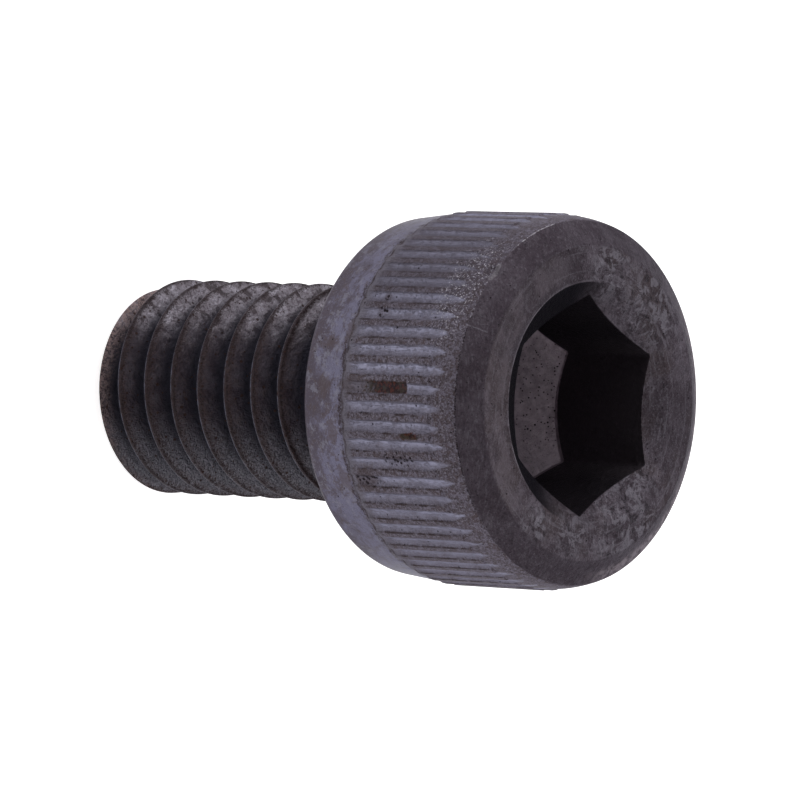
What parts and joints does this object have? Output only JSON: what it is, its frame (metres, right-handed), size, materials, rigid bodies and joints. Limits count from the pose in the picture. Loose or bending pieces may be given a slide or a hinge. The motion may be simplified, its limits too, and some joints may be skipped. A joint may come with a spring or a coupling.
{
  "type": "socket head cap screw",
  "caption": "Short black steel cap screw with a knurled cylindrical head, a hexagon socket and a coarse right-hand thread up to the neck.",
  "frame": {"origin": "centre of the bearing face under the head", "axes": "+Z along the screw's axis, towards the top of the head; the hexagon has corners on the X axis and flats across the Y axis; the screw stands on its tip"},
  "size_m": [0.01, 0.01, 0.016],
  "materials": {
    "black_oxide_steel": "black oxide, worn grey on the knurl, with small spots of rust"
  },
  "bodies": {
    "root": {"screw": "black_oxide_steel"}
  },
  "joints": []
}
